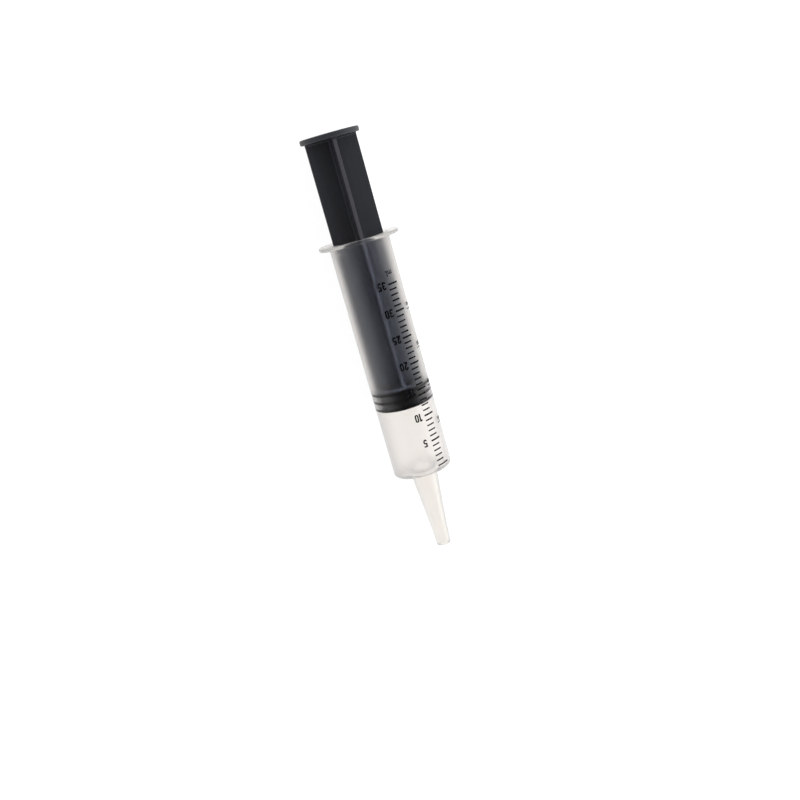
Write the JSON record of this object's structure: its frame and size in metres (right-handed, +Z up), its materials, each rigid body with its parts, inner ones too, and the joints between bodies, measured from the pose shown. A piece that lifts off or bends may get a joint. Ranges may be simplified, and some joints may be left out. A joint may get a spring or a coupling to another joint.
{
  "type": "feeding syringe",
  "caption": "Clear catheter-tip feeding syringe with a black ribbed plunger, a rubber stopper, a finger flange and a printed volume scale. The plunger slides and turns.",
  "frame": {"origin": "centre of the open end of the catheter tip, on the syringe's axis", "axes": "+X along the syringe's axis out of the tip, so the plunger points to -X; the finger wings reach along Y, and +Z is up with the scale on top when the syringe lies on its flange"},
  "size_m": [0.1854, 0.0344, 0.0274],
  "materials": {
    "clear_polypropylene": "translucent natural polypropylene, moulded gloss",
    "black_rubber": "siliconed satin",
    "black_polypropylene": "satin moulded",
    "black_ink": "printed, semi-matt"
  },
  "bodies": {
    "barrel": {"barrel": "clear_polypropylene", "zero_line": "black_ink", "five_ml_lines": "black_ink", "one_ml_lines": "black_ink", "ml_numerals": "black_ink", "ml_unit_mark": "black_ink", "ounce_lines": "black_ink", "ounce_numerals": "black_ink"},
    "stopper": {"stopper": "black_rubber"},
    "plunger": {"plunger_rod": "black_polypropylene"}
  },
  "joints": [
    {"name": "plunger_slide", "type": "slide", "parent": "barrel", "child": "stopper", "axis": [-1, 0, 0], "range_m": [-0.0285, 0.0611]},
    {"name": "plunger_twist", "type": "hinge", "parent": "stopper", "child": "plunger", "pos_m": [-0.0757, 0, 0], "axis": [1, 0, 0], "continuous": true}
  ]
}
